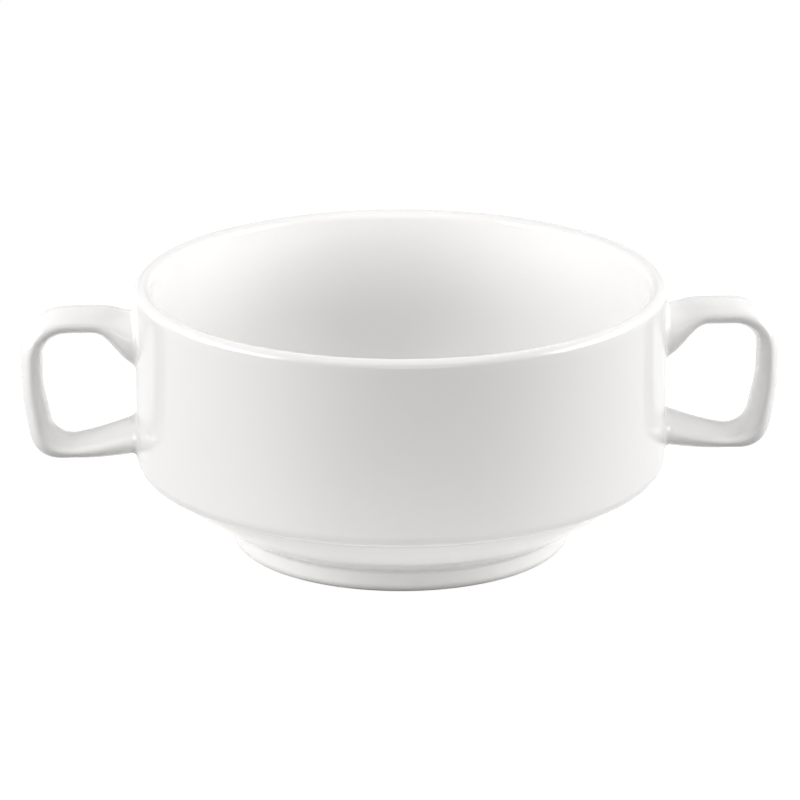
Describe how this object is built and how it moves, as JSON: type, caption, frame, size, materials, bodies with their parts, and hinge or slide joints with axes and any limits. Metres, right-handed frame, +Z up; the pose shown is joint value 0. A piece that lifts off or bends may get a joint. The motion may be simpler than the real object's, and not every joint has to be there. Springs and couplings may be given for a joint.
{
  "type": "lug soup bowl",
  "caption": "Stacking soup bowl in white glazed porcelain, with a straight wall, a stepped shoulder, a turned foot and two looped lug handles.",
  "frame": {"origin": "on the table under the middle of the bowl, at the centre of the foot ring", "axes": "+Z up out of the bowl's mouth, +X through the middle of both handles, +Y along the level direction between the handles"},
  "size_m": [0.1544, 0.108, 0.0548],
  "materials": {
    "glazed_porcelain": "clear glossy glaze over white porcelain",
    "glazed_slip": "clear glossy glaze, pooled a little thicker over the slip fillet"
  },
  "bodies": {
    "root": {"bowl_body": "glazed_porcelain", "left_handle": "glazed_porcelain", "right_handle": "glazed_porcelain", "left_upper_slip_joint": "glazed_slip", "left_lower_slip_joint": "glazed_slip", "right_upper_slip_joint": "glazed_slip", "right_lower_slip_joint": "glazed_slip"}
  },
  "joints": []
}
